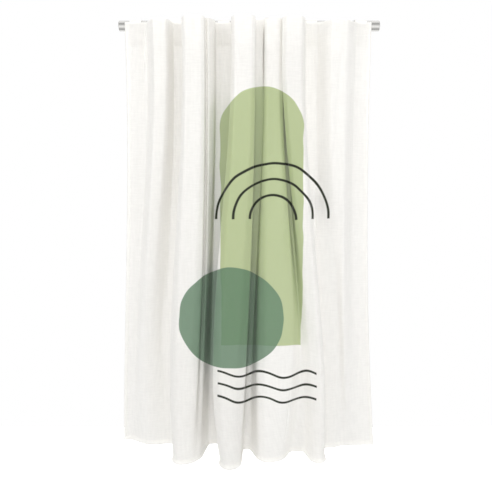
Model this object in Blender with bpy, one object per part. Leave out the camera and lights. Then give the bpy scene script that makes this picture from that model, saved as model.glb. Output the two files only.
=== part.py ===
"""A printed window curtain hanging in deep loose folds from a plain round rod.

The curtain is one flat panel of cloth with its hems, hung on six back tabs. Each tab is a loop of
the same cloth, sewn to the back of the heading, that goes over the rod. The rod is what the wall holds.

Metres, +Z up. The rod's axis is the X axis, with its middle at the origin, and the curtain hangs in
front of it, on the -Y side. Depths are measured forwards, from the plane where the cloth's middle
layer lies in the hollows of the heading.
"""

import math
from collections import namedtuple

import bmesh
import bpy
import numpy as np

MM = 0.001

# Driving sizes of the cloth
DROP = 1.370
FLAT_WIDTH = 1.510
CLOTH_THICK = 2.2 * MM
HEM_THICK = 3.2 * MM
HEM_HEIGHT = 14 * MM
HEM_STEP = 2 * MM
STRAIGHT_HEADING = 0.090
MIDDLE_BELOW_TOP = 0.702
HEADING_ROUNDNESS = 4.5 * MM
HEM_ROUNDNESS = 9 * MM

# How far the cloth hangs from the rod's middle, along X
CLOTH_OFFSET = -3.5 * MM

# Driving sizes of the rod and the tabs
ROD_DIAMETER = 0.031
ROD_LENGTH = 0.791
ROD_CHAMFER = 1.0 * MM
ROD_SIDES = 64
TOP_ABOVE_ROD_AXIS = 7.5 * MM
TAB_THICK = 2.0 * MM
TAB_WIDTH = 36 * MM
TAB_LEG = 6 * MM
TAB_FOOT_BELOW_AXIS = 0.064
TAB_FOOT_HEIGHT = 12 * MM
SEAT_GAP = 0.3 * MM

# Fineness of the meshes. COLUMN_SHARES says where the columns lie between two of a fold's points
COLUMN_SHARES = np.array([0.0, 0.3, 0.7])
ROWS = 15
CURVE_POINTS = 1200
ARC_STEPS = 14
SMOOTH_BELOW = math.radians(40)

# How far the depths may be stretched to keep the flat width, and the steps that find the stretch
LEAST_STRETCH = 0.8
MOST_STRETCH = 1.25
STRETCH_STEPS = 30

# Linear colours and roughness of the materials
CLOTH_COLOUR = (0.86, 0.85, 0.81)
CLOTH_ROUGHNESS = 0.85
TAB_COLOUR = (0.84, 0.83, 0.79)
TAB_ROUGHNESS = 0.9
STEEL_COLOUR = (0.62, 0.61, 0.58)
STEEL_ROUGHNESS = 0.3

ROD_RADIUS = ROD_DIAMETER / 2
TAB_INNER = ROD_RADIUS + SEAT_GAP
TAB_OUTER = TAB_INNER + TAB_THICK
HOLLOW_PLANE = -(TAB_OUTER + SEAT_GAP + CLOTH_THICK / 2)

# A row for each fold, in millimetres. The rows are, from the left: the swell near the left edge, the
# first deep fold, the small pleat on its side, the second deep fold, the wide fold, the narrow fold
# and the swell near the right edge. feet: where a fold leaves the hollow on its left and meets the one
# on its right. brows: its sides where it is widest. fronts: how far its front stands forwards at its
# left and right. floor: the depth of the hollow after it.
Fold = namedtuple("Fold", "left_foot left_brow right_brow right_foot left_front right_front floor")
HEADING_EDGES = ((-371, 0), (372, 0))
HEADING_FOLDS = (
    Fold(-306, -283, -234, -226, 56, 50, 0),
    Fold(-196, -190, -125, -126, 96, 95, 56),
    Fold(-121, -118, -98, -100, 66, 42, 0),
    Fold(-42, -48, 21, 17, 98, 97, 44),
    Fold(50, 48, 100, 86, 66, 64, 0),
    Fold(118, 99.5, 164, 172, 87, 84, 0),
    Fold(212, 238, 304, 326, 38, 34, 0),
)
MIDDLE_EDGES = ((-391, -8), (383, 0))
MIDDLE_FOLDS = (
    Fold(-345, -325, -280, -255, 38, 34, -3),
    Fold(-214, -224, -136, -140, 124, 124, 60),
    Fold(-134, -130, -118, -112, 70, 56, 0),
    Fold(-74, -90, 9, 8, 144, 138, 34),
    Fold(30, 33, 132, 140, 98, 94, 48),
    Fold(148, 156, 208, 206, 92, 98, 14),
    Fold(222, 268, 308, 330, 26, 38, 4),
)
HEM_EDGES = ((-427, -36), (425, 4))
HEM_FOLDS = (
    Fold(-400, -355, -310, -270, 1, 4, -6),
    Fold(-222, -243, -180, -166, 137, 132, 106),
    Fold(-163, -158, -148, -136, 98, 72, -4),
    Fold(-64, -90, -26, -21, 168, 167, 33),
    Fold(10, 36, 112, 136, 124, 116, 48),
    Fold(188, 203, 248, 243, 126, 129, 24),
    Fold(285, 305, 350, 385, 8, 6, 4),
)

# How high up a fold's side its brow is, as a share of its front
BROW_HEIGHT = 0.80

# The share of a fold's width, at each side, over which its front turns back
HEADING_INSET = 0.15
MIDDLE_INSET = 0.22
HEM_INSET = 0.30

# The middle of each tab along the rod, in millimetres
TAB_PLACES = (-340, -219, -73, 101, 191, 341)


def plan_points(edges, folds, inset_share):
    """The places, in metres, that the cloth passes through at one height, as (x, depth) rows."""
    (start_x, start_depth), (end_x, end_depth) = edges
    points = [(start_x, start_depth)]
    floor_before = start_depth
    for fold in folds:
        inset = inset_share * (fold.right_brow - fold.left_brow)
        left_side = floor_before + BROW_HEIGHT * (fold.left_front - floor_before)
        right_side = fold.floor + BROW_HEIGHT * (fold.right_front - fold.floor)
        points += [
            (fold.left_foot, floor_before),
            (fold.left_brow, left_side),
            (fold.left_brow + inset, fold.left_front),
            (fold.right_brow - inset, fold.right_front),
            (fold.right_brow, right_side),
            (fold.right_foot, fold.floor),
        ]
        floor_before = fold.floor
    points.append((end_x, end_depth))
    return np.array(points) * MM


HEADING_PLAN = plan_points(HEADING_EDGES, HEADING_FOLDS, HEADING_INSET)
MIDDLE_PLAN = plan_points(MIDDLE_EDGES, MIDDLE_FOLDS, MIDDLE_INSET)
HEM_PLAN = plan_points(HEM_EDGES, HEM_FOLDS, HEM_INSET)


def plan_at(below_top):
    """The plan points at one height: the heading's over its straight part, then eased to the hem's."""
    along = max(0.0, (below_top - STRAIGHT_HEADING) / (DROP - STRAIGHT_HEADING))
    middle = (MIDDLE_BELOW_TOP - STRAIGHT_HEADING) / (DROP - STRAIGHT_HEADING)
    to_middle = MIDDLE_PLAN - HEADING_PLAN
    to_hem = HEM_PLAN - HEADING_PLAN
    square = (to_middle - middle**3 * to_hem) / (middle**2 * (1 - middle))
    cube = to_hem - square
    return HEADING_PLAN + square * along**2 + cube * along**3


def run_along(curve):
    """The distance along the curve to each of its points."""
    steps = np.linalg.norm(np.diff(curve, axis=0), axis=1)
    return np.concatenate([[0.0], np.cumsum(steps)])


def soft_curve(points, roundness):
    """The straight run through the points with its corners rounded, as heavy cloth bends.

    It gives the rounded curve, and the share of the straight run at which each plan point lies.
    """
    run = run_along(points)
    at = np.linspace(0.0, run[-1], CURVE_POINTS)
    line = np.column_stack([np.interp(at, run, points[:, 0]), np.interp(at, run, points[:, 1])])
    step = run[-1] / (CURVE_POINTS - 1)
    reach = math.ceil(3 * roundness / step)
    weights = np.exp(-0.5 * (np.arange(-reach, reach + 1) * step / roundness) ** 2)
    weights /= weights.sum()
    before = 2 * line[0] - line[reach:0:-1]
    after = 2 * line[-1] - line[-2:-reach - 2:-1]
    padded = np.vstack([before, line, after])
    curve = np.column_stack([np.convolve(padded[:, axis], weights, "valid") for axis in (0, 1)])
    return curve, run / run[-1]


def full_width(curve):
    """The curve with its depths stretched a little, so that the cloth keeps its flat width."""
    low = LEAST_STRETCH
    high = MOST_STRETCH
    for _ in range(STRETCH_STEPS):
        stretch = (low + high) / 2
        if run_along(curve * (1, stretch))[-1] < FLAT_WIDTH:
            low = stretch
        else:
            high = stretch
    return curve * (1, stretch)


def cloth_row(below_top):
    """Places (x, y) of the cloth's middle layer at one height, as many between each two plan points."""
    roundness = np.interp(below_top, (0, DROP), (HEADING_ROUNDNESS, HEM_ROUNDNESS))
    curve, shares = soft_curve(plan_at(below_top), roundness)
    curve = full_width(curve)
    starts, ends = shares[:-1, None], shares[1:, None]
    columns = np.append((starts + (ends - starts) * COLUMN_SHARES).ravel(), 1.0)
    at = columns * (CURVE_POINTS - 1)
    order = np.arange(CURVE_POINTS)
    x = CLOTH_OFFSET + np.interp(at, order, curve[:, 0])
    y = HOLLOW_PLANE - np.interp(at, order, curve[:, 1])
    return np.column_stack([x, y])


def row_heights():
    """Distances below the cloth's top edge of its rows of points, the last three at the bottom hem."""
    hem_top = DROP - HEM_HEIGHT
    return np.append(np.linspace(0.0, hem_top - HEM_STEP, ROWS - 2), [hem_top, DROP])


def principled(name, colour, roughness, metallic=0.0):
    """A Principled material of one colour, given as linear red, green and blue."""
    material = bpy.data.materials.new(name)
    material.use_nodes = True
    shader = material.node_tree.nodes["Principled BSDF"]
    shader.inputs["Base Color"].default_value = (*colour, 1.0)
    shader.inputs["Roughness"].default_value = roughness
    shader.inputs["Metallic"].default_value = metallic
    return material


def add_object(name, shape, material):
    """Makes a named object from a bmesh, smooth over its round parts."""
    mesh = bpy.data.meshes.new(name)
    bmesh.ops.recalc_face_normals(shape, faces=shape.faces)
    shape.to_mesh(mesh)
    shape.free()
    mesh.materials.append(material)
    mesh.shade_smooth()
    mesh.set_sharp_from_angle(angle=SMOOTH_BELOW)
    obj = bpy.data.objects.new(name, mesh)
    bpy.context.scene.collection.objects.link(obj)
    return obj


def make_curtain():
    """The panel: a grid laid along the folds, made a sheet that is thicker at its hems."""
    shape = bmesh.new()
    heights = row_heights()
    places = [cloth_row(below) for below in heights]
    last_column = len(places[0]) - 1
    bmesh.ops.create_grid(shape, x_segments=last_column, y_segments=ROWS - 1, size=0.5)
    hem_points = []
    for vert in shape.verts:
        column = round((vert.co.x + 0.5) * last_column)
        row = round((0.5 - vert.co.y) * (ROWS - 1))
        x, y = places[row][column]
        vert.co = (x, y, TOP_ABOVE_ROD_AXIS - heights[row])
        if row >= ROWS - 2 or column in (0, last_column):
            hem_points.append(vert.index)
    curtain = add_object("curtain", shape, principled("curtain_cloth", CLOTH_COLOUR, CLOTH_ROUGHNESS))
    hems = curtain.vertex_groups.new(name="hems")
    hems.add(hem_points, 1.0, "REPLACE")
    sheet = curtain.modifiers.new("sheet", "SOLIDIFY")
    sheet.thickness = HEM_THICK
    sheet.offset = 0.0
    sheet.vertex_group = hems.name
    sheet.thickness_vertex_group = CLOTH_THICK / HEM_THICK
    return curtain


def make_rod():
    """A plain round rod along X, with flat ends and a small chamfer."""
    shape = bmesh.new()
    bmesh.ops.create_circle(shape, cap_ends=True, segments=ROD_SIDES, radius=ROD_RADIUS)
    for vert in shape.verts:
        vert.co = (-ROD_LENGTH / 2, vert.co.x, vert.co.y)
    grown = bmesh.ops.extrude_face_region(shape, geom=shape.faces[:])
    far = [item for item in grown["geom"] if isinstance(item, bmesh.types.BMVert)]
    bmesh.ops.translate(shape, verts=far, vec=(ROD_LENGTH, 0, 0))
    rims = [edge for edge in shape.edges if abs(edge.verts[0].co.x - edge.verts[1].co.x) < MM]
    bmesh.ops.bevel(shape, geom=rims, offset=ROD_CHAMFER, segments=1, profile=0.5, affect="EDGES",
                    material=-1)
    return add_object("rod", shape, principled("satin_steel", STEEL_COLOUR, STEEL_ROUGHNESS, 1.0))


def tab_outline():
    """The tab's side view as (y, z) points: up the cloth's back, over the rod, and back to the cloth."""
    foot_low = -TAB_FOOT_BELOW_AXIS
    over = np.linspace(math.pi, 0.0, ARC_STEPS)
    outside = [(TAB_OUTER * math.cos(turn), TAB_OUTER * math.sin(turn)) for turn in over]
    inside = [(TAB_INNER * math.cos(turn), TAB_INNER * math.sin(turn)) for turn in over[::-1]]
    foot = [
        (-TAB_INNER, foot_low),
        (-TAB_OUTER, foot_low),
        (-TAB_OUTER, foot_low + TAB_FOOT_HEIGHT),
        (-TAB_INNER, foot_low + TAB_FOOT_HEIGHT),
        (-TAB_INNER, foot_low + 2 * TAB_THICK),
    ]
    return (
        [(-TAB_OUTER, -TAB_LEG)]
        + outside
        + [(TAB_OUTER, -TAB_LEG)]
        + foot
        + [(TAB_INNER, -TAB_LEG)]
        + inside
        + [(-TAB_INNER, -TAB_LEG)]
    )


def make_tab(number, middle):
    """One back tab, a flat strip of cloth bent round the rod, as wide as TAB_WIDTH."""
    shape = bmesh.new()
    left = CLOTH_OFFSET + middle * MM - TAB_WIDTH / 2
    verts = [shape.verts.new((left, y, z)) for y, z in tab_outline()]
    side = shape.faces.new(verts)
    grown = bmesh.ops.extrude_face_region(shape, geom=[side])
    far = [item for item in grown["geom"] if isinstance(item, bmesh.types.BMVert)]
    bmesh.ops.translate(shape, verts=far, vec=(TAB_WIDTH, 0, 0))
    cloth = principled(f"tab_cloth_{number}", TAB_COLOUR, TAB_ROUGHNESS)
    return add_object(f"back_tab_{number}", shape, cloth)


for old in list(bpy.data.objects):
    bpy.data.objects.remove(old)
make_curtain()
make_rod()
for number, middle in enumerate(TAB_PLACES, start=1):
    make_tab(number, middle)
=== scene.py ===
"""A printed window curtain that hangs in deep loose folds from a satin steel rod.

The cloth and its tabs are thin sheets that follow the folds of their solids in the frame. The hems,
the creases, the sewing and the print are added here. Metres, +Z up. The rod's axis is the X axis,
with its middle at the origin, and the curtain hangs in front of it, on the -Y side.
"""

import math
from collections import namedtuple

import bmesh
import bpy
import numpy as np
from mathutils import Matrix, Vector


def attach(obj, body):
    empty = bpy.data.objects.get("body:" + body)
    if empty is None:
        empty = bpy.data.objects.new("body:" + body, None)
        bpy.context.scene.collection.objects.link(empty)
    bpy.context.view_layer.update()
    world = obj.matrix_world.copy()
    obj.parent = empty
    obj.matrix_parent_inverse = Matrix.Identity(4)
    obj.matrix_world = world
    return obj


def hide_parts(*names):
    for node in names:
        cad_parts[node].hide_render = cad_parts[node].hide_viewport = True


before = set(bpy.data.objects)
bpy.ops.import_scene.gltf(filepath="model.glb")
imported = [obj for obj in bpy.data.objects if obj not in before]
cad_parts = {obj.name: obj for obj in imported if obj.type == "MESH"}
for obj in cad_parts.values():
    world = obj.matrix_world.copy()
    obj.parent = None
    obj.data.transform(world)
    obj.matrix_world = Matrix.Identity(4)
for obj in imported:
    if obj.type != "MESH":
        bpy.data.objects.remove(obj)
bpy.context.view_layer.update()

MM = 0.001

# Sizes of the cloth, the same as its solid's but for the roundness, which says how softly it turns at a
# fold's corners: a little more sharply here at the heading. The cloth hangs straight below its top edge
# for the straight heading, and it hangs a little to the left of the rod's middle
DROP = 1.370
FLAT_WIDTH = 1.510
STRAIGHT_HEADING = 0.090
MIDDLE_BELOW_TOP = 0.702
HEADING_ROUNDNESS = 2.0 * MM
HEM_ROUNDNESS = 10.0 * MM
CLOTH_OFFSET = -3.5 * MM
TOP_ABOVE_ROD_AXIS = 7.5 * MM

# Thickness of the cloth, of its hems, where it is folded over twice, and of the heading, where it is
# folded over once and pressed. Then the widths of these, the slope at a hem's inner edge, and how far
# the bottom edge rolls outwards
CLOTH_THICK = 1.0 * MM
HEM_THICK = 3.0 * MM
HEADING_THICK = 1.4 * MM
BOTTOM_HEM = 13 * MM
SIDE_HEM = 11 * MM
HEADING_HEM = 78 * MM
HEM_STEP = 2.5 * MM
HEM_FLARE = 4.5 * MM

# The sewing: lockstitches a little inside each hem's inner edge
STITCH_PITCH = 4.0 * MM
THREAD_THICK = 0.6 * MM
SEAM_INSIDE_HEM = 2.0 * MM

# How far along each stitch the thread comes up and goes down, and its height in its own thicknesses
THREAD_PATH = ((0.05, -0.6), (0.20, 0.35), (0.80, 0.35), (0.95, -0.6))

# Sizes of the rod and of the tabs that go over it, the same as their solids'. The tabs' places are
# their middles along the rod, in millimetres. The hollow plane is where the cloth's hollows lie, just
# in front of the tabs
ROD_RADIUS = 0.031 / 2
SEAT_GAP = 0.3 * MM
TAB_THICK = 2.0 * MM
SOLID_CLOTH_THICK = 2.2 * MM
TAB_WIDTH = 36 * MM
TAB_LEG = 6 * MM
TAB_FOOT_BELOW_AXIS = 0.064
TAB_FOOT_HEIGHT = 12 * MM
TAB_PLACES = (-340, -219, -73, 101, 191, 341)
TAB_MIDDLE = ROD_RADIUS + SEAT_GAP + TAB_THICK / 2
HOLLOW_PLANE = -(TAB_MIDDLE + TAB_THICK / 2 + SEAT_GAP + SOLID_CLOTH_THICK / 2)
TAB_ROUNDNESS = 1.5 * MM
TAB_ARC_STEPS = 24
TAB_ROWS = 48
TAB_COLUMNS = 12

# A row for each fold, in millimetres, the same as in the solid. The rows are, from the left: the swell
# near the left edge, the first deep fold, the small pleat on its side, the second deep fold, the wide
# fold, the narrow fold and the swell near the right edge. feet: where a fold leaves the hollow on its
# left and meets the one on its right. brows: its sides where it is widest. fronts: how far its front
# stands forwards at its left and right. floor: the depth of the hollow after it.
Fold = namedtuple("Fold", "left_foot left_brow right_brow right_foot left_front right_front floor")
HEADING_EDGES = ((-371, 0), (372, 0))
HEADING_FOLDS = (
    Fold(-306, -283, -234, -226, 56, 50, 0),
    Fold(-196, -190, -125, -126, 96, 95, 56),
    Fold(-121, -118, -98, -100, 66, 42, 0),
    Fold(-42, -48, 21, 17, 98, 97, 44),
    Fold(50, 48, 100, 86, 66, 64, 0),
    Fold(118, 99.5, 164, 172, 87, 84, 0),
    Fold(212, 238, 304, 326, 38, 34, 0),
)
MIDDLE_EDGES = ((-391, -8), (383, 0))
MIDDLE_FOLDS = (
    Fold(-345, -325, -280, -255, 38, 34, -3),
    Fold(-214, -224, -136, -140, 124, 124, 60),
    Fold(-134, -130, -118, -112, 70, 56, 0),
    Fold(-74, -90, 9, 8, 144, 138, 34),
    Fold(30, 33, 132, 140, 98, 94, 48),
    Fold(148, 156, 208, 206, 92, 98, 14),
    Fold(222, 268, 308, 330, 26, 38, 4),
)
HEM_EDGES = ((-427, -36), (425, 4))
HEM_FOLDS = (
    Fold(-400, -355, -310, -270, 1, 4, -6),
    Fold(-222, -243, -180, -166, 137, 132, 106),
    Fold(-163, -158, -148, -136, 98, 72, -4),
    Fold(-64, -90, -26, -21, 168, 167, 33),
    Fold(10, 36, 112, 136, 124, 116, 48),
    Fold(188, 203, 248, 243, 126, 129, 24),
    Fold(285, 305, 350, 385, 8, 6, 4),
)
POINTS_A_FOLD = 6

# How far up its front a fold is widest, and how far inside its sides its front begins at each height,
# as a share of its width
BROW_HEIGHT = 0.80
HEADING_INSET = 0.15
MIDDLE_INSET = 0.22
HEM_INSET = 0.30

# The creases, as soft troughs (depth below nought) and ridges. start_place and end_place: how many plan
# points along the cloth they start and end, the left edge being 0. Each fold has six: 0 to 1 is the
# hollow before the first fold, 3 to 4 its front, 6 to 7 the hollow after it. start and end: metres below
# the top, where a start above it makes a crease whole at the top edge. width: the spread to each side,
# and depth, in millimetres.
Crease = namedtuple("Crease", "start_place end_place start end width depth")
CREASES = (
    Crease(0.20, 0.42, 0.068, 0.122, 2.0, 2.4),
    Crease(0.26, 0.47, 0.074, 0.128, 2.0, -2.0),
    Crease(0.62, 0.60, 0.020, 0.120, 6.0, 2.0),
    Crease(0.84, 0.80, 0.012, 0.190, 3.2, -3.6),
    Crease(0.92, 0.92, 0.000, 0.160, 1.8, 2.4),
    Crease(0.96, 1.46, 0.820, 1.250, 6.0, -4.0),
    Crease(5.64, 5.72, 0.780, 1.120, 7.0, -3.0),
    Crease(6.30, 6.06, 0.072, 0.640, 3.0, -3.5),
    Crease(9.66, 9.72, 0.015, 0.075, 3.0, -1.8),
    Crease(9.35, 9.40, 0.060, 0.420, 7.0, -1.4),
    Crease(12.50, 12.50, -0.200, 0.500, 3.0, 8.0),
    Crease(18.10, 18.10, 0.020, 0.085, 2.2, -2.4),
    Crease(18.36, 18.36, 0.005, 0.080, 4.0, 2.6),
    Crease(18.80, 18.78, 0.005, 0.075, 4.0, 2.4),
    Crease(18.31, 18.30, 0.076, 0.280, 5.0, -3.6),
    Crease(18.30, 18.12, 0.240, 0.760, 7.0, -3.0),
    Crease(21.10, 21.37, 0.030, 0.160, 4.0, -1.4),
    Crease(24.94, 24.96, 0.000, 0.220, 1.9, -16.0),
    Crease(27.50, 27.46, 0.120, 0.500, 8.0, -1.5),
    Crease(28.70, 28.70, -0.200, 0.400, 3.5, 3.5),
    Crease(28.80, 28.88, 1.060, 1.340, 2.4, -2.0),
    Crease(32.30, 32.30, -0.200, 0.400, 3.5, 2.5),
    Crease(33.50, 33.40, 0.080, 0.700, 9.0, 1.4),
    Crease(36.68, 36.70, 0.076, 0.170, 4.0, -3.0),
    Crease(36.76, 36.74, 0.430, 0.720, 2.0, -2.4),
    Crease(36.95, 37.20, 0.360, 0.640, 12.0, -4.0),
    Crease(39.80, 39.15, 0.030, 0.420, 5.0, -3.0),
    Crease(41.80, 42.47, 0.840, 1.040, 5.0, -3.4),
    Crease(42.50, 42.06, 0.970, 1.170, 5.0, -4.4),
    Crease(42.54, 42.70, 0.092, 0.108, 2.2, 2.4),
    Crease(42.62, 42.84, 0.100, 0.120, 2.0, -2.2),
    Crease(42.40, 42.46, 0.130, 0.520, 5.0, 1.8),
)

# A crease fades in and out over one part in this many of its length at each end
CREASE_ENDS = 3.0

# Fineness of the sheet: columns on each kind of stretch between two of a fold's points, the extra ones
# along each crease and how far they spread, counted in plan points, and rows. Then the points on each
# row's curve, and how many times its roundness the rounding of a corner reaches
HOLLOW_COLUMNS = 12
FLANK_COLUMNS = 9
TURN_COLUMNS = 6
FRONT_COLUMNS = 12
STRETCH_COLUMNS = (
    HOLLOW_COLUMNS, FLANK_COLUMNS, TURN_COLUMNS, FRONT_COLUMNS, TURN_COLUMNS, FLANK_COLUMNS
)
CREASE_COLUMNS = 7
CREASE_SPREAD = 0.07
PLACE_STEPS = 8000
HEADING_ROWS = 20
BODY_ROWS = 47
HEM_ROWS = 8
CURVE_POINTS = 2000
ROUNDING_REACH = 3

# How far the sheet's depths may be stretched to keep the flat width, and the steps that find it
LEAST_STRETCH = 0.8
MOST_STRETCH = 1.25
STRETCH_STEPS = 24

# The print reads whole from in front, as if it had been laid on the hung folds from this place
PRINT_LAID_FROM = (-0.0035, -1.8088, -0.3124)

# The print's motifs, in metres: places across from the rod's middle and down from the top edge
ARCH_CENTRE = (0.040, 0.320)
ARCH_RADIUS = 0.131
ARCH_FOOT = 1.020
DISC_CENTRE = (-0.058, 0.930)
DISC_RADIUS = 0.172
RAINBOW_CENTRE = (0.075, 0.600)
RAINBOW_INNER = 0.075
RAINBOW_OUTER = 0.205
RAINBOW_PITCH = 0.052
WAVES_CENTRE = (0.060, 1.165)
WAVES_HALF_WIDTH = 0.165
WAVES_HALF_HEIGHT = 0.058
WAVES_PITCH = 0.045
WAVE_LENGTH = 0.150
WAVE_HEIGHT = 0.011
INK_HALF_WIDTH = 4.0 * MM

# A width that no motif reaches
ANY_WIDTH = 9.0

# The soft edge of dye in cloth, and how far a hand-drawn edge strays, in bends about 110 mm long. A noise
# strays a quarter to each side of its middle
DYE_EDGE = 1.2 * MM
HAND_DRAWN = 4.0 * MM
HAND_DRAWN_CELLS = 9.0
NOISE_MIDDLE = 0.5
NOISE_STRAYS = 0.25

# Colours of the cloth and its dyes. The darker threads have this share of the cloth's light
CLOTH_WHITE = "#F4F2ED"
DARK_THREADS = 0.93
SAGE = "#A9B687"
DEEP_GREEN = "#6A846D"
BOTH_GREENS = "#5C7B5B"
INK = "#161A10"

# How much of the light goes into the cloth, and how far it spreads there
LIGHT_THROUGH = 0.40
LIGHT_REACH = 10 * MM

# Patterns of the cloth, as cells a metre across and down. Slubs are thicker stretches of the weft, about
# 30 mm long, and real ones are 1 mm high. They are drawn 4 mm high, because finer ones don't show.
# Streaks are bands of slacker warp, 7 mm wide. Rumples are the soft unevenness of cloth that was folded
# in its packet
SLUB_CELLS = (33.0, 250.0)
STREAK_CELLS = (140.0, 20.0)
RUMPLE_CELLS = (16.0, 7.0)

# The noise values at which slubs and streaks together are darkest and lightest
GRAIN_DARKEST = 0.65
GRAIN_LIGHTEST = 1.35

# Threads are 0.5 mm apart, drawn 3 mm apart because finer ones don't show. A wave texture has 20
# radians of wave for each unit of its scale
WEAVE_PITCH = 3.0 * MM
RADIANS_A_UNIT = 20

# How far the cloth's patterns stand up from it
RUMPLE_HEIGHT = 6.0 * MM
GRAIN_HEIGHT = 0.35 * MM
WEAVE_HEIGHT = 0.05 * MM

# The sewing thread's twist
TWIST_PITCH = 0.8 * MM
TWIST_HEIGHT = 0.1 * MM

# The lines that grinding left along the rod, as cells a metre along and round: 40 mm long, and drawn
# 0.6 mm wide, because real ones, 0.1 mm wide, don't show
GRINDING_CELLS = (25.0, 1800.0, 1800.0)
GRINDING_HEIGHT = 0.02 * MM
SMOOTHEST_STEEL = 0.12
ROUGHEST_STEEL = 0.22

# The studio. Its room gives the most light from the bright way and the least from the opposite one.
# Each lamp has a name, a place and a power in watts
VIEW_TRANSFORM = "Standard"
FLOOR_HEIGHT = -2.20
FLOOR_REACH = 1.6
BRIGHT_WAY = (0.0, -0.35, 0.94)
MOST_ROOM_LIGHT = 0.88
LEAST_ROOM_LIGHT = 0.44
LAMP_WIDTH = 0.45
LAMP_HEIGHT = 1.6
LAMPS = (
    ("front_lamp", (-0.12, -2.6, 1.2), 33.0),
    ("left_lamp", (-2.0, -1.9, 0.8), 13.5),
    ("right_lamp", (2.0, -1.9, 0.8), 12.0),
)
LAMP_AIM = (0.0, 0.0, -0.45)

# The pale and dark bands that the rod mirrors: how many there are all round, where they start, their
# mean strength, and how far they go above and below it
MIRRORED_BANDS = 3.0
BAND_TURN = math.radians(126)
BAND_LIGHT = 0.86
BAND_CONTRAST = 0.36

# The camera, for an image 492 pixels wide and high
IMAGE_PIXELS = 492
SENSOR_WIDTH = 36.0
FOCAL_PIXELS = 570.0
SHIFT_PIXELS = (-2.0, -24.6)
CAMERA_TILT = math.radians(9.11)
CAMERA_PLACE = (-0.0035, -1.8088, -0.3124)


def plan_points(edges, folds, inset_share):
    """The places, in metres, that the cloth passes through at one height, as (x, depth) rows."""
    (start_x, start_depth), (end_x, end_depth) = edges
    points = [(start_x, start_depth)]
    floor_before = start_depth
    for fold in folds:
        inset = inset_share * (fold.right_brow - fold.left_brow)
        left_side = floor_before + BROW_HEIGHT * (fold.left_front - floor_before)
        right_side = fold.floor + BROW_HEIGHT * (fold.right_front - fold.floor)
        points += [
            (fold.left_foot, floor_before),
            (fold.left_brow, left_side),
            (fold.left_brow + inset, fold.left_front),
            (fold.right_brow - inset, fold.right_front),
            (fold.right_brow, right_side),
            (fold.right_foot, fold.floor),
        ]
        floor_before = fold.floor
    points.append((end_x, end_depth))
    return np.array(points) * MM


HEADING_PLAN = plan_points(HEADING_EDGES, HEADING_FOLDS, HEADING_INSET)
MIDDLE_PLAN = plan_points(MIDDLE_EDGES, MIDDLE_FOLDS, MIDDLE_INSET)
HEM_PLAN = plan_points(HEM_EDGES, HEM_FOLDS, HEM_INSET)


def plan_at(below_top):
    """The plan points at one height: the heading's over its straight part, then eased to the hem's."""
    along = max(0.0, (below_top - STRAIGHT_HEADING) / (DROP - STRAIGHT_HEADING))
    middle = (MIDDLE_BELOW_TOP - STRAIGHT_HEADING) / (DROP - STRAIGHT_HEADING)
    to_middle = MIDDLE_PLAN - HEADING_PLAN
    to_hem = HEM_PLAN - HEADING_PLAN
    square = (to_middle - middle**3 * to_hem) / (middle**2 * (1 - middle))
    cube = to_hem - square
    return HEADING_PLAN + square * along**2 + cube * along**3


def run_along(curve):
    """The distance along the curve to each of its points."""
    steps = np.linalg.norm(np.diff(curve, axis=0), axis=1)
    return np.concatenate([[0.0], np.cumsum(steps)])


def soft_curve(points, roundness):
    """The straight run through the points with its corners rounded, as heavy cloth bends.

    It gives the rounded curve, and the share of the straight run at which each plan point lies.
    """
    run = run_along(points)
    at = np.linspace(0.0, run[-1], CURVE_POINTS)
    line = np.column_stack([np.interp(at, run, points[:, 0]), np.interp(at, run, points[:, 1])])
    step = run[-1] / (CURVE_POINTS - 1)
    reach = math.ceil(ROUNDING_REACH * roundness / step)
    weights = np.exp(-0.5 * (np.arange(-reach, reach + 1) * step / roundness) ** 2)
    weights /= weights.sum()
    before = 2 * line[0] - line[reach:0:-1]
    after = 2 * line[-1] - line[-2:-reach - 2:-1]
    padded = np.vstack([before, line, after])
    curve = np.column_stack([np.convolve(padded[:, axis], weights, "valid") for axis in (0, 1)])
    return curve, run / run[-1]


def full_width(curve):
    """The curve with its depths stretched a little, so that the cloth keeps its flat width."""
    low = LEAST_STRETCH
    high = MOST_STRETCH
    for _ in range(STRETCH_STEPS):
        stretch = (low + high) / 2
        if run_along(curve * (1, stretch))[-1] < FLAT_WIDTH:
            low = stretch
        else:
            high = stretch
    return curve * (1, stretch)


def column_places():
    """Where the sheet's columns lie, counted in plan points, closer together where creases run."""
    last = len(HEADING_PLAN) - 1
    place = np.linspace(0, last, PLACE_STEPS)
    wanted = np.array([STRETCH_COLUMNS[int(at) % POINTS_A_FOLD] for at in place], dtype=float)
    for crease in CREASES:
        low, high = sorted((crease.start_place, crease.end_place))
        outside = np.maximum(np.maximum(low - place, place - high), 0.0)
        near = np.exp(-0.5 * (outside / CREASE_SPREAD) ** 2)
        wanted += CREASE_COLUMNS / (high - low + 2 * CREASE_SPREAD) * near
    count = np.concatenate([[0.0], np.cumsum((wanted[1:] + wanted[:-1]) / 2)]) * last / (PLACE_STEPS - 1)
    return np.interp(np.linspace(0, count[-1], round(count[-1]) + 1), count, place)


def row_heights():
    """Distances below the top edge of the sheet's rows, closer together at the heading and the hem."""
    hem_top = DROP - 2 * BOTTOM_HEM
    heading = np.linspace(0.0, STRAIGHT_HEADING, HEADING_ROWS, endpoint=False)
    body = np.linspace(STRAIGHT_HEADING, hem_top, BODY_ROWS, endpoint=False)
    return np.concatenate([heading, body, np.linspace(hem_top, DROP, HEM_ROWS + 1)])


def smooth_step(value):
    """0 below nought, 1 above one, and an eased slope between."""
    value = np.clip(value, 0.0, 1.0)
    return value * value * (3 - 2 * value)


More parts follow.
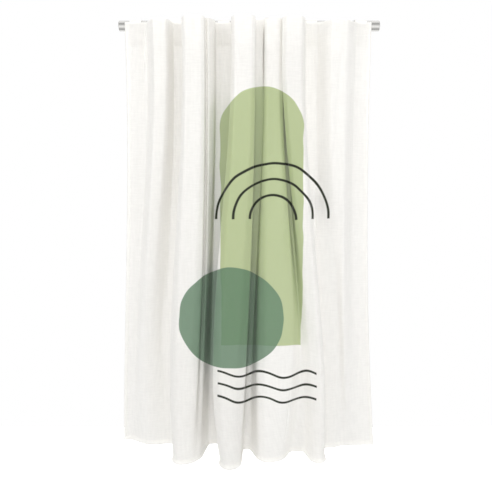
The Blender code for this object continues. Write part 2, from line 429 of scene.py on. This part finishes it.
def crease_height(below_top, run, places):
    """How far each point of one row stands forwards because of the creases."""
    height = np.zeros_like(run)
    for crease in CREASES:
        along = (below_top - crease.start) / (crease.end - crease.start)
        if not 0 < along < 1:
            continue
        place = crease.start_place + along * (crease.end_place - crease.start_place)
        middle = np.interp(place, places, run)
        fade = smooth_step(CREASE_ENDS * along) * smooth_step(CREASE_ENDS * (1 - along))
        height += fade * crease.depth * MM * np.exp(-0.5 * ((run - middle) / (crease.width * MM)) ** 2)
    return height


Sheet = namedtuple("Sheet", "places heights x y z run forwards")


def lay_cloth():
    """The sheet's middle layer as rows of points, with the cloth's own sizes at each of them."""
    places = column_places()
    heights = row_heights()
    rows = {"x": [], "y": [], "run": [], "forwards": []}
    for below in heights:
        roundness = HEADING_ROUNDNESS + (HEM_ROUNDNESS - HEADING_ROUNDNESS) * (below / DROP) ** 2
        curve, shares = soft_curve(plan_at(below), roundness)
        curve = full_width(curve)
        at = np.interp(places, np.arange(len(shares)), shares) * (CURVE_POINTS - 1)
        order = np.arange(CURVE_POINTS)
        all_run = run_along(curve)
        all_run *= FLAT_WIDTH / all_run[-1]
        slope = np.gradient(curve, axis=0)
        slope /= np.linalg.norm(slope, axis=1)[:, None]
        x, depth, run, slope_x, slope_depth = (
            np.interp(at, order, values)
            for values in (curve[:, 0], curve[:, 1], all_run, slope[:, 0], slope[:, 1])
        )
        out = crease_height(below, run, places)
        rows["x"].append(CLOTH_OFFSET + x - slope_depth * out)
        rows["y"].append(HOLLOW_PLANE - depth - slope_x * out)
        rows["run"].append(run)
        rows["forwards"].append(np.column_stack([-slope_depth, -slope_x]))
    arrays = {name: np.array(values) for name, values in rows.items()}
    z = TOP_ABOVE_ROD_AXIS - np.repeat(heights[:, None], len(places), axis=1)
    flare = HEM_FLARE * smooth_step((heights - DROP + BOTTOM_HEM) / BOTTOM_HEM)[:, None]
    arrays["x"] = arrays["x"] + flare * arrays["forwards"][:, :, 0]
    arrays["y"] = arrays["y"] + flare * arrays["forwards"][:, :, 1]
    return Sheet(places=places, heights=heights, z=z, **arrays)


def print_places(sheet):
    """Where the print's flat drawing lies at each point: across from the rod's middle, and down."""
    from_x, from_y, from_z = PRINT_LAID_FROM
    share = (HOLLOW_PLANE - from_y) / (sheet.y - from_y)
    across = from_x + share * (sheet.x - from_x)
    down = TOP_ABOVE_ROD_AXIS - from_z - share * (sheet.z - from_z)
    return np.stack([across, down], axis=2)


def linear(hex_colour):
    """The linear colour of an sRGB hex value."""
    channels = [int(hex_colour[i : i + 2], 16) / 255 for i in (1, 3, 5)]
    return (*[c / 12.92 if c <= 0.04045 else ((c + 0.055) / 1.055) ** 2.4 for c in channels], 1.0)


def add_node(tree, kind, settings=None, inputs=None):
    """Adds a node. settings are its own values. inputs are values, or the sockets that feed it."""
    node = tree.nodes.new(kind)
    for name, value in (settings or {}).items():
        setattr(node, name, value)
    for name, value in (inputs or {}).items():
        if isinstance(value, bpy.types.NodeSocket):
            tree.links.new(value, node.inputs[name])
        else:
            node.inputs[name].default_value = value
    return node


def new_material(name, finish):
    """A material with these values on its shader, its node tree and its shader."""
    material = bpy.data.materials.new(name)
    material.use_nodes = True
    shader = material.node_tree.nodes["Principled BSDF"]
    for socket, value in finish.items():
        shader.inputs[socket].default_value = value
    return material, material.node_tree, shader


def printed_colour(tree, cloth_colour):
    """The colour of the printed face: a plain arch, a disc, bows and waves, drawn for this curtain."""
    where = add_node(tree, "ShaderNodeUVMap", {"uv_map": "print"}).outputs["UV"]
    stray = add_node(
        tree, "ShaderNodeTexNoise", None, {"Vector": where, "Scale": HAND_DRAWN_CELLS, "Detail": 1.0}
    ).outputs["Color"]
    stray = add_node(
        tree, "ShaderNodeVectorMath", {"operation": "SUBTRACT"}, {0: stray, 1: (NOISE_MIDDLE,) * 3}
    ).outputs[0]
    reach = HAND_DRAWN / NOISE_STRAYS
    drawn = add_node(
        tree, "ShaderNodeVectorMath", {"operation": "MULTIPLY_ADD"},
        {0: stray, 1: (reach, reach, 0.0), 2: where},
    ).outputs[0]
    parts = add_node(tree, "ShaderNodeSeparateXYZ", None, {0: drawn})
    across = parts.outputs["X"]
    down = parts.outputs["Y"]

    # The distance to each centre. The arch's sides are straight below its centre
    from_centre = [
        add_node(
            tree, "ShaderNodeVectorMath", {"operation": "SUBTRACT"}, {0: drawn, 1: (*centre, 0.0)}
        ).outputs[0]
        for centre in (ARCH_CENTRE, DISC_CENTRE, RAINBOW_CENTRE)
    ]
    from_centre[0] = add_node(
        tree, "ShaderNodeVectorMath", {"operation": "MINIMUM"},
        {0: from_centre[0], 1: (ANY_WIDTH, 0.0, 0.0)},
    ).outputs[0]
    to_arch, to_disc, to_rainbow = (
        add_node(tree, "ShaderNodeVectorMath", {"operation": "LENGTH"}, {0: offset}).outputs["Value"]
        for offset in from_centre
    )
    inwards = add_node(
        tree, "ShaderNodeMath", {"operation": "MULTIPLY"}, {0: to_rainbow, 1: -1.0}
    ).outputs[0]

    # The height of each point, with the waves' swing taken out
    swing = add_node(
        tree, "ShaderNodeMath", {"operation": "MULTIPLY"}, {0: across, 1: 2 * math.pi / WAVE_LENGTH}
    ).outputs[0]
    swing = add_node(tree, "ShaderNodeMath", {"operation": "SINE"}, {0: swing}).outputs[0]
    level = add_node(
        tree, "ShaderNodeMath", {"operation": "MULTIPLY_ADD"}, {0: swing, 1: WAVE_HEIGHT, 2: down}
    ).outputs[0]

    # How far each point is from a first or middle line, to the nearest of the evenly spaced lines
    # beside it, and to the middle line on either side
    from_bow, from_side, from_level = (
        add_node(tree, "ShaderNodeMath", {"operation": "SUBTRACT"}, {0: value, 1: line}).outputs[0]
        for value, line in (
            (to_rainbow, RAINBOW_INNER),
            (across, WAVES_CENTRE[0]),
            (level, WAVES_CENTRE[1]),
        )
    )
    to_bow, to_wave = (
        add_node(tree, "ShaderNodeMath", {"operation": "PINGPONG"}, {0: value, 1: pitch / 2}).outputs[0]
        for value, pitch in ((from_bow, RAINBOW_PITCH), (from_level, WAVES_PITCH))
    )
    to_side, to_level = (
        add_node(tree, "ShaderNodeMath", {"operation": "ABSOLUTE"}, {0: value}).outputs[0]
        for value in (from_side, from_level)
    )

    # A motif is where all of its distances are less than their limits
    motifs = []
    for limits in (
        ((to_arch, ARCH_RADIUS), (down, ARCH_FOOT)),
        ((to_disc, DISC_RADIUS),),
        (
            (to_bow, INK_HALF_WIDTH),
            (to_rainbow, RAINBOW_OUTER),
            (inwards, 2 * INK_HALF_WIDTH - RAINBOW_INNER),
            (down, RAINBOW_CENTRE[1]),
        ),
        ((to_wave, INK_HALF_WIDTH), (to_side, WAVES_HALF_WIDTH), (to_level, WAVES_HALF_HEIGHT)),
    ):
        motif = 1.0
        for distance, limit in limits:
            within = add_node(
                tree, "ShaderNodeMapRange", None,
                {
                    "Value": distance,
                    "From Min": limit - DYE_EDGE,
                    "From Max": limit + DYE_EDGE,
                    "To Min": 1.0,
                    "To Max": 0.0,
                },
            ).outputs[0]
            motif = add_node(
                tree, "ShaderNodeMath", {"operation": "MULTIPLY"}, {0: motif, 1: within}
            ).outputs[0]
        motifs.append(motif)
    arch, disc, rainbow, waves = motifs
    overlap = add_node(tree, "ShaderNodeMath", {"operation": "MULTIPLY"}, {0: arch, 1: disc}).outputs[0]
    ink = add_node(tree, "ShaderNodeMath", {"operation": "MAXIMUM"}, {0: rainbow, 1: waves}).outputs[0]

    colour = cloth_colour
    for motif, dye in ((arch, SAGE), (disc, DEEP_GREEN), (overlap, BOTH_GREENS), (ink, INK)):
        colour = add_node(
            tree, "ShaderNodeMix", {"data_type": "RGBA"}, {"Factor": motif, 6: colour, 7: linear(dye)}
        ).outputs[2]
    return colour


def curtain_cloth(name, printed):
    """Thick dense polyester, woven plain and heat-set.

    To the eye it is quite matt, with uneven threads, a soft bloom at grazing angles and a little light
    coming through it, which makes the shadows in its folds weak.
    """
    material, tree, shader = new_material(name, {
        "Roughness": 0.88,
        "IOR": 1.5,
        "Subsurface Weight": LIGHT_THROUGH,
        "Subsurface Radius": (1.0, 1.0, 1.0),
        "Subsurface Scale": LIGHT_REACH,
        "Sheen Weight": 0.12,
        "Sheen Roughness": 0.5,
    })
    where = add_node(tree, "ShaderNodeUVMap", {"uv_map": "cloth"}).outputs["UV"]
    patterns = []
    for cells in (SLUB_CELLS, STREAK_CELLS, RUMPLE_CELLS):
        at = add_node(
            tree, "ShaderNodeMapping", None, {"Vector": where, "Scale": (*cells, 1.0)}
        ).outputs[0]
        noise = add_node(tree, "ShaderNodeTexNoise", None, {"Vector": at, "Scale": 1.0, "Detail": 2.0})
        patterns.append(noise.outputs["Fac"])
    slubs, streaks, rumples = patterns
    grain = add_node(tree, "ShaderNodeMath", {"operation": "ADD"}, {0: slubs, 1: streaks}).outputs[0]
    shade = add_node(
        tree, "ShaderNodeMapRange", None,
        {"Value": grain, "From Min": GRAIN_DARKEST, "From Max": GRAIN_LIGHTEST},
    ).outputs[0]

    # The weave, as rows of weft and warp
    weft, warp = (
        add_node(
            tree, "ShaderNodeTexWave", {"wave_type": "BANDS", "bands_direction": direction},
            {
                "Vector": where,
                "Scale": 2 * math.pi / (RADIANS_A_UNIT * WEAVE_PITCH),
                "Distortion": 0.6,
                "Detail": 1.0,
            },
        ).outputs["Fac"]
        for direction in ("Y", "X")
    )
    weave = add_node(tree, "ShaderNodeMath", {"operation": "ADD"}, {0: weft, 1: warp}).outputs[0]

    lighter = linear(CLOTH_WHITE)
    darker = tuple(channel * DARK_THREADS for channel in lighter[:3]) + (1.0,)
    colour = add_node(
        tree, "ShaderNodeMix", {"data_type": "RGBA"}, {"Factor": shade, 6: darker, 7: lighter}
    ).outputs[2]
    if printed:
        colour = printed_colour(tree, colour)
    below = {}
    for pattern, height in ((rumples, RUMPLE_HEIGHT), (grain, GRAIN_HEIGHT), (weave, WEAVE_HEIGHT)):
        bump = add_node(
            tree, "ShaderNodeBump", None,
            {"Height": pattern, "Strength": 1.0, "Distance": height, **below},
        ).outputs[0]
        below = {"Normal": bump}
    tree.links.new(colour, shader.inputs["Base Color"])
    tree.links.new(bump, shader.inputs["Normal"])
    return material


def satin_steel():
    """Steel tube, ground lengthways and plated: soft bright bands along it, with fine lines."""
    material, tree, shader = new_material("satin_plated_steel", {
        "Base Color": linear("#DAD9D6"),
        "Metallic": 1.0,
    })
    place = add_node(tree, "ShaderNodeTexCoord").outputs["Object"]
    along = add_node(
        tree, "ShaderNodeMapping", None, {"Vector": place, "Scale": GRINDING_CELLS}
    ).outputs[0]
    lines = add_node(
        tree, "ShaderNodeTexNoise", None, {"Vector": along, "Scale": 1.0, "Detail": 3.0}
    ).outputs["Fac"]
    roughness = add_node(
        tree, "ShaderNodeMapRange", None,
        {"Value": lines, "To Min": SMOOTHEST_STEEL, "To Max": ROUGHEST_STEEL},
    ).outputs[0]
    bump = add_node(
        tree, "ShaderNodeBump", None, {"Height": lines, "Strength": 0.3, "Distance": GRINDING_HEIGHT}
    ).outputs[0]
    tree.links.new(roughness, shader.inputs["Roughness"])
    tree.links.new(bump, shader.inputs["Normal"])
    return material


def sheet_mesh(name, points, maps, materials, thickness, thick_parts=None):
    """A grid of points made a sheet with two sides.

    maps holds a UV map's name and a pair of values at each point. thick_parts, where given, says at
    each point what share of the thickness there is between the cloth's own and the hem's.
    """
    rows, columns = points.shape[:2]
    shape = bmesh.new()
    bmesh.ops.create_grid(shape, x_segments=columns - 1, y_segments=rows - 1, size=0.5)
    layers = {map_name: shape.loops.layers.uv.new(map_name) for map_name in maps}
    weights = shape.verts.layers.deform.verify()
    for vert in shape.verts:
        column = round((vert.co.x + 0.5) * (columns - 1))
        row = round((0.5 - vert.co.y) * (rows - 1))
        vert.co = points[row, column]
        if thick_parts is not None:
            vert[weights][0] = thick_parts[row, column]
        for loop in vert.link_loops:
            for map_name, layer in layers.items():
                loop[layer].uv = maps[map_name][row, column]
    piece = add_piece(name, shape, materials)
    sheet = piece.modifiers.new("two_sides", "SOLIDIFY")
    sheet.thickness = thickness
    sheet.offset = 0.0
    sheet.material_offset = len(materials) - 1
    if thick_parts is not None:
        sheet.vertex_group = piece.vertex_groups.new(name="hems").name
        sheet.thickness_vertex_group = CLOTH_THICK / thickness
    return piece


def add_piece(name, shape, materials):
    """Makes a smooth object from a bmesh and lets it ride on the curtain's one body."""
    mesh = bpy.data.meshes.new(name)
    shape.to_mesh(mesh)
    shape.free()
    for material in materials:
        mesh.materials.append(material)
    mesh.shade_smooth()
    piece = bpy.data.objects.new(name, mesh)
    bpy.context.scene.collection.objects.link(piece)
    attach(piece, "root")
    return piece


def make_curtain(sheet):
    """The printed panel, with its heading, side hems and bottom hem folded over."""
    points = np.stack([sheet.x, sheet.y, sheet.z], axis=2)
    below = np.repeat(sheet.heights[:, None], len(sheet.places), axis=1)
    maps = {
        "cloth": np.stack([sheet.run, below], axis=2),
        "print": print_places(sheet),
    }
    from_edge = np.minimum(sheet.run, FLAT_WIDTH - sheet.run)
    in_side_hem = 1 - smooth_step((from_edge - SIDE_HEM) / HEM_STEP + 0.5)
    in_bottom_hem = 1 - smooth_step((DROP - below - BOTTOM_HEM) / HEM_STEP + 0.5)
    in_heading = 1 - smooth_step((below - HEADING_HEM) / HEM_STEP + 0.5)
    heading_share = (HEADING_THICK - CLOTH_THICK) / (HEM_THICK - CLOTH_THICK)
    thick_parts = np.maximum.reduce([in_side_hem, in_bottom_hem, heading_share * in_heading])
    face = curtain_cloth("printed_polyester_face", printed=True)
    back = curtain_cloth("plain_polyester_back", printed=False)
    piece = sheet_mesh("curtain_panel", points, maps, [face, back], HEM_THICK, thick_parts)
    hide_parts("curtain")


def on_cloth(sheet, run, below):
    """The place of the cloth's middle layer at one point of the flat cloth, and the way it faces."""
    row = np.interp(below, sheet.heights, np.arange(len(sheet.heights)))
    above = min(int(row), len(sheet.heights) - 2)
    share = row - above
    found = []
    for values in (sheet.x, sheet.y, sheet.forwards[:, :, 0], sheet.forwards[:, :, 1]):
        high = np.interp(run, sheet.run[above], values[above])
        low = np.interp(run, sheet.run[above + 1], values[above + 1])
        found.append(high + share * (low - high))
    x, y, out_x, out_y = found
    return Vector((x, y, TOP_ABOVE_ROD_AXIS - below)), Vector((out_x, out_y, 0.0)).normalized()


def seam_points(sheet, start, end):
    """Where the thread runs from one (across, below) point of the flat cloth to another.

    In each stitch it comes up through the cloth, lies on it and goes down again.
    """
    stitches = round(math.dist(start, end) / STITCH_PITCH)
    points = []
    for number in range(stitches):
        for share, rise in THREAD_PATH:
            along = (number + share) / stitches
            place, out = on_cloth(sheet, *(a + along * (b - a) for a, b in zip(start, end)))
            points.append(place + out * (HEM_THICK / 2 + rise * THREAD_THICK))
    return points


def make_sewing(sheet):
    """The lockstitch thread along the side hems and the bottom hem."""
    left = SIDE_HEM - SEAM_INSIDE_HEM
    right = FLAT_WIDTH - left
    low = DROP - BOTTOM_HEM + SEAM_INSIDE_HEM
    thread = bpy.data.curves.new("hem_stitches", "CURVE")
    thread.dimensions = "3D"
    thread.bevel_depth = THREAD_THICK / 2
    thread.bevel_resolution = 1
    for start, end in (
        ((left, STITCH_PITCH), (left, low)),
        ((right, STITCH_PITCH), (right, low)),
        ((left, low), (right, low)),
    ):
        points = seam_points(sheet, start, end)
        line = thread.splines.new("POLY")
        line.points.add(len(points) - 1)
        for point, place in zip(line.points, points):
            point.co = (*place, 1.0)
    holder = bpy.data.objects.new("hem_stitches", thread)
    shape = bmesh.new()
    shape.from_mesh(holder.to_mesh())
    bpy.data.objects.remove(holder)
    piece = add_piece("hem_stitches", shape, [polyester_thread()])


def polyester_thread():
    """Spun polyester sewing thread: a little glossier than the cloth, with its twist just visible."""
    material, tree, shader = new_material("spun_polyester_thread", {
        "Base Color": linear("#EFEEE8"),
        "Roughness": 0.6,
    })
    place = add_node(tree, "ShaderNodeTexCoord").outputs["Object"]
    twist = add_node(
        tree, "ShaderNodeTexWave", {"wave_type": "BANDS", "bands_direction": "DIAGONAL"},
        {"Vector": place, "Scale": 2 * math.pi / (RADIANS_A_UNIT * TWIST_PITCH)},
    ).outputs["Fac"]
    bump = add_node(
        tree, "ShaderNodeBump", None, {"Height": twist, "Strength": 0.5, "Distance": TWIST_HEIGHT}
    ).outputs[0]
    tree.links.new(bump, shader.inputs["Normal"])
    return material


def tab_path():
    """The middle line of a tab, as (y, z) points: from the heading over the rod and back to its foot."""
    over = np.linspace(math.pi, 0.0, TAB_ARC_STEPS)
    foot_low = -TAB_FOOT_BELOW_AXIS + TAB_THICK / 2
    points = [(-TAB_MIDDLE, -TAB_LEG)]
    points += [(TAB_MIDDLE * math.cos(turn), TAB_MIDDLE * math.sin(turn)) for turn in over]
    points += [
        (TAB_MIDDLE, -TAB_LEG),
        (-TAB_MIDDLE, foot_low),
        (-TAB_MIDDLE, -TAB_FOOT_BELOW_AXIS + TAB_FOOT_HEIGHT),
    ]
    curve, _ = soft_curve(np.array(points), TAB_ROUNDNESS)
    return curve[np.linspace(0, len(curve) - 1, TAB_ROWS).astype(int)]


def make_tab(number, middle, cloth):
    """One back tab, a strip of doubled cloth that goes over the rod."""
    path = tab_path()
    run = run_along(path)
    across = np.linspace(-TAB_WIDTH / 2, TAB_WIDTH / 2, TAB_COLUMNS + 1)
    x = np.repeat((CLOTH_OFFSET + middle * MM + across)[None, :], len(path), axis=0)
    y = np.repeat(path[:, :1], len(across), axis=1)
    z = np.repeat(path[:, 1:], len(across), axis=1)
    maps = {"cloth": np.stack([x, np.repeat(run[:, None], len(across), axis=1)], axis=2)}
    piece = sheet_mesh(f"tab_loop_{number}", np.stack([x, y, z], axis=2), maps, [cloth], TAB_THICK)
    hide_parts(f"back_tab_{number}")


def make_floor():
    """A plain pale floor below the curtain, which shows as white and isn't mirrored in the rod."""
    shape = bmesh.new()
    bmesh.ops.create_grid(shape, x_segments=1, y_segments=1, size=FLOOR_REACH)
    for vert in shape.verts:
        vert.co.z = FLOOR_HEIGHT
    mesh = bpy.data.meshes.new("floor")
    shape.to_mesh(mesh)
    shape.free()
    material, tree, shader = new_material("pale_matt_floor", {
        "Base Color": linear("#FAFAFA"),
        "Roughness": 0.9,
        "Emission Color": linear("#FFFFFF"),
    })
    seen = add_node(tree, "ShaderNodeLightPath").outputs["Is Camera Ray"]
    tree.links.new(seen, shader.inputs["Emission Strength"])
    mesh.materials.append(material)
    floor = bpy.data.objects.new("floor", mesh)
    floor.visible_glossy = False
    bpy.context.scene.collection.objects.link(floor)


def make_studio():
    """A pale room, brightest above and in front of the curtain, and three soft lamps.

    The background shows as plain white from every side. The rod mirrors soft bands and no lamp.
    """
    world = bpy.data.worlds.new("studio")
    bpy.context.scene.world = world
    world.use_nodes = True
    tree = world.node_tree
    way = add_node(tree, "ShaderNodeTexCoord").outputs["Generated"]
    height = add_node(
        tree, "ShaderNodeVectorMath", {"operation": "DOT_PRODUCT"}, {0: way, 1: BRIGHT_WAY}
    ).outputs["Value"]
    room = add_node(
        tree, "ShaderNodeMapRange", None,
        {
            "Value": height,
            "From Min": -1.0,
            "From Max": 1.0,
            "To Min": LEAST_ROOM_LIGHT,
            "To Max": MOST_ROOM_LIGHT,
        },
    ).outputs[0]
    parts = add_node(tree, "ShaderNodeSeparateXYZ", None, {0: way})
    turn = add_node(
        tree, "ShaderNodeMath", {"operation": "ARCTAN2"}, {0: parts.outputs["Z"], 1: parts.outputs["Y"]}
    ).outputs[0]
    wave = add_node(
        tree, "ShaderNodeMath", {"operation": "MULTIPLY_ADD"}, {0: turn, 1: MIRRORED_BANDS, 2: BAND_TURN}
    ).outputs[0]
    wave = add_node(tree, "ShaderNodeMath", {"operation": "COSINE"}, {0: wave}).outputs[0]
    bands = add_node(
        tree, "ShaderNodeMath", {"operation": "MULTIPLY_ADD"},
        {0: wave, 1: BAND_CONTRAST, 2: BAND_LIGHT},
    ).outputs[0]
    ray = add_node(tree, "ShaderNodeLightPath")
    strength = add_node(
        tree, "ShaderNodeMix", {"data_type": "FLOAT"},
        {"Factor": ray.outputs["Is Glossy Ray"], 2: room, 3: bands},
    ).outputs[0]
    strength = add_node(
        tree, "ShaderNodeMix", {"data_type": "FLOAT"},
        {"Factor": ray.outputs["Is Camera Ray"], 2: strength, 3: 1.0},
    ).outputs[0]
    background = tree.nodes["Background"]
    background.inputs["Color"].default_value = (1.0, 1.0, 1.0, 1.0)
    tree.links.new(strength, background.inputs["Strength"])
    for name, place, power in LAMPS:
        lamp = bpy.data.lights.new(name, "AREA")
        lamp.shape = "RECTANGLE"
        lamp.size = LAMP_WIDTH
        lamp.size_y = LAMP_HEIGHT
        lamp.energy = power
        holder = bpy.data.objects.new(name, lamp)
        holder.location = place
        holder.rotation_euler = (Vector(LAMP_AIM) - Vector(place)).to_track_quat("-Z", "Y").to_euler()
        holder.visible_glossy = False
        bpy.context.scene.collection.objects.link(holder)


def make_camera():
    """The camera at the photo's viewing angle, a little above the middle of the curtain."""
    lens = bpy.data.cameras.new("camera")
    lens.sensor_width = SENSOR_WIDTH
    lens.lens = SENSOR_WIDTH * FOCAL_PIXELS / IMAGE_PIXELS
    lens.shift_x = SHIFT_PIXELS[0] / IMAGE_PIXELS
    lens.shift_y = SHIFT_PIXELS[1] / IMAGE_PIXELS
    camera = bpy.data.objects.new("camera", lens)
    camera.location = CAMERA_PLACE
    camera.rotation_euler = (math.pi / 2 - CAMERA_TILT, 0.0, 0.0)
    bpy.context.scene.collection.objects.link(camera)
    bpy.context.scene.camera = camera


make_camera()
make_studio()
make_floor()
cloth = lay_cloth()
make_curtain(cloth)
make_sewing(cloth)
tab_cloth = curtain_cloth("plain_polyester_tabs", printed=False)
for tab_number, tab_middle in enumerate(TAB_PLACES, start=1):
    make_tab(tab_number, tab_middle, tab_cloth)
steel = satin_steel()
for material_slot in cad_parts["rod"].material_slots:
    material_slot.material = steel
bpy.context.scene.view_settings.view_transform = VIEW_TRANSFORM
